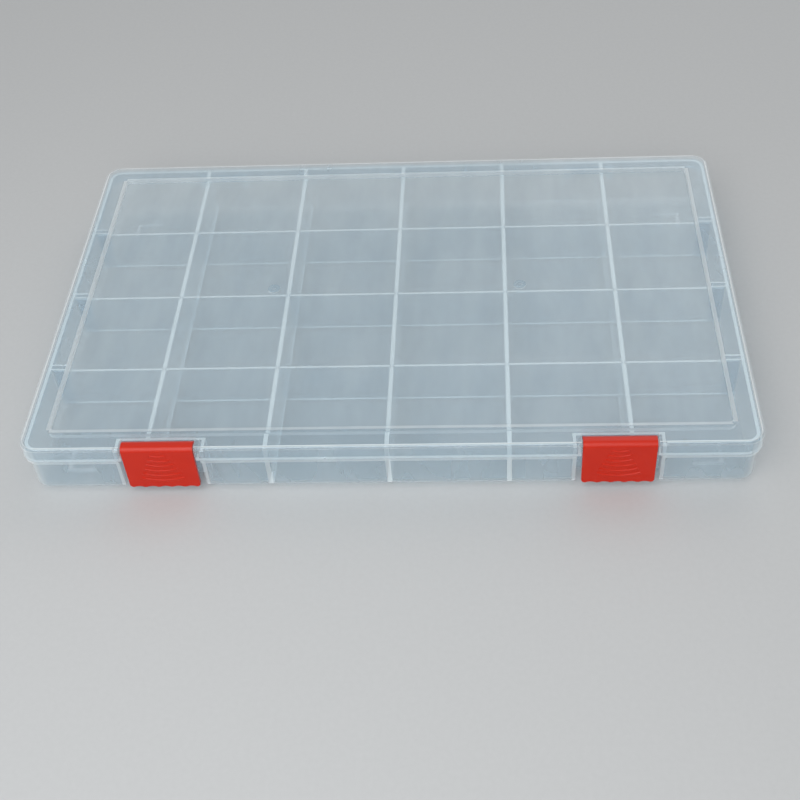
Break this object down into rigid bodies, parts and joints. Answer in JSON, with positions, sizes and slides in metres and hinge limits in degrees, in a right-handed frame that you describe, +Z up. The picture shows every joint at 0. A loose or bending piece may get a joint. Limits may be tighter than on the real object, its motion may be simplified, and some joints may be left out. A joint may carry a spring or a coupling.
{
  "type": "compartment storage box",
  "caption": "Flat translucent plastic box with a grid of small compartments, lift-out cross dividers, a hinged lid with a sunk stacking panel and snap latches on the front.",
  "frame": {"origin": "bottom centre of the box: on the surface under its feet, half way across its width and half way between its latch fronts and hinge backs", "axes": "+Z up, +X along the width, to the right for someone facing the latches, and the latches face -Y"},
  "size_m": [0.275, 0.183, 0.0245],
  "materials": {
    "natural_shell": "moulded translucent polypropylene, polished rim and fine satin panel",
    "natural_divider": "moulded translucent polypropylene",
    "orange_latch": "moulded orange-red polypropylene, semi-gloss"
  },
  "bodies": {
    "tray": {"tray": "natural_shell", "divider_row1_col1": "natural_divider", "divider_row1_col2": "natural_divider", "divider_row1_col3": "natural_divider", "divider_row1_col4": "natural_divider", "divider_row1_col5": "natural_divider", "divider_row1_col6": "natural_divider", "divider_row2_col1": "natural_divider", "divider_row2_col2": "natural_divider", "divider_row2_col3": "natural_divider", "divider_row2_col4": "natural_divider", "divider_row2_col5": "natural_divider", "divider_row2_col6": "natural_divider", "divider_row3_col1": "natural_divider", "divider_row3_col2": "natural_divider", "divider_row3_col3": "natural_divider", "divider_row3_col4": "natural_divider", "divider_row3_col5": "natural_divider", "divider_row3_col6": "natural_divider"},
    "lid": {"lid": "natural_shell"},
    "latch_left": {"latch_left": "orange_latch"},
    "latch_right": {"latch_right": "orange_latch"}
  },
  "joints": [
    {"name": "lid_hinge", "type": "hinge", "parent": "tray", "child": "lid", "pos_m": [0, 0.08918, 0.0159], "axis": [-1, 0, 0], "range_deg": [0, 180]},
    {"name": "latch_left_pivot", "type": "hinge", "parent": "lid", "child": "latch_left", "pos_m": [-0.085, -0.08822, 0.02192], "axis": [-1, 0, 0], "range_deg": [0, 105]},
    {"name": "latch_right_pivot", "type": "hinge", "parent": "lid", "child": "latch_right", "pos_m": [0.085, -0.08822, 0.02192], "axis": [-1, 0, 0], "range_deg": [0, 105]}
  ]
}
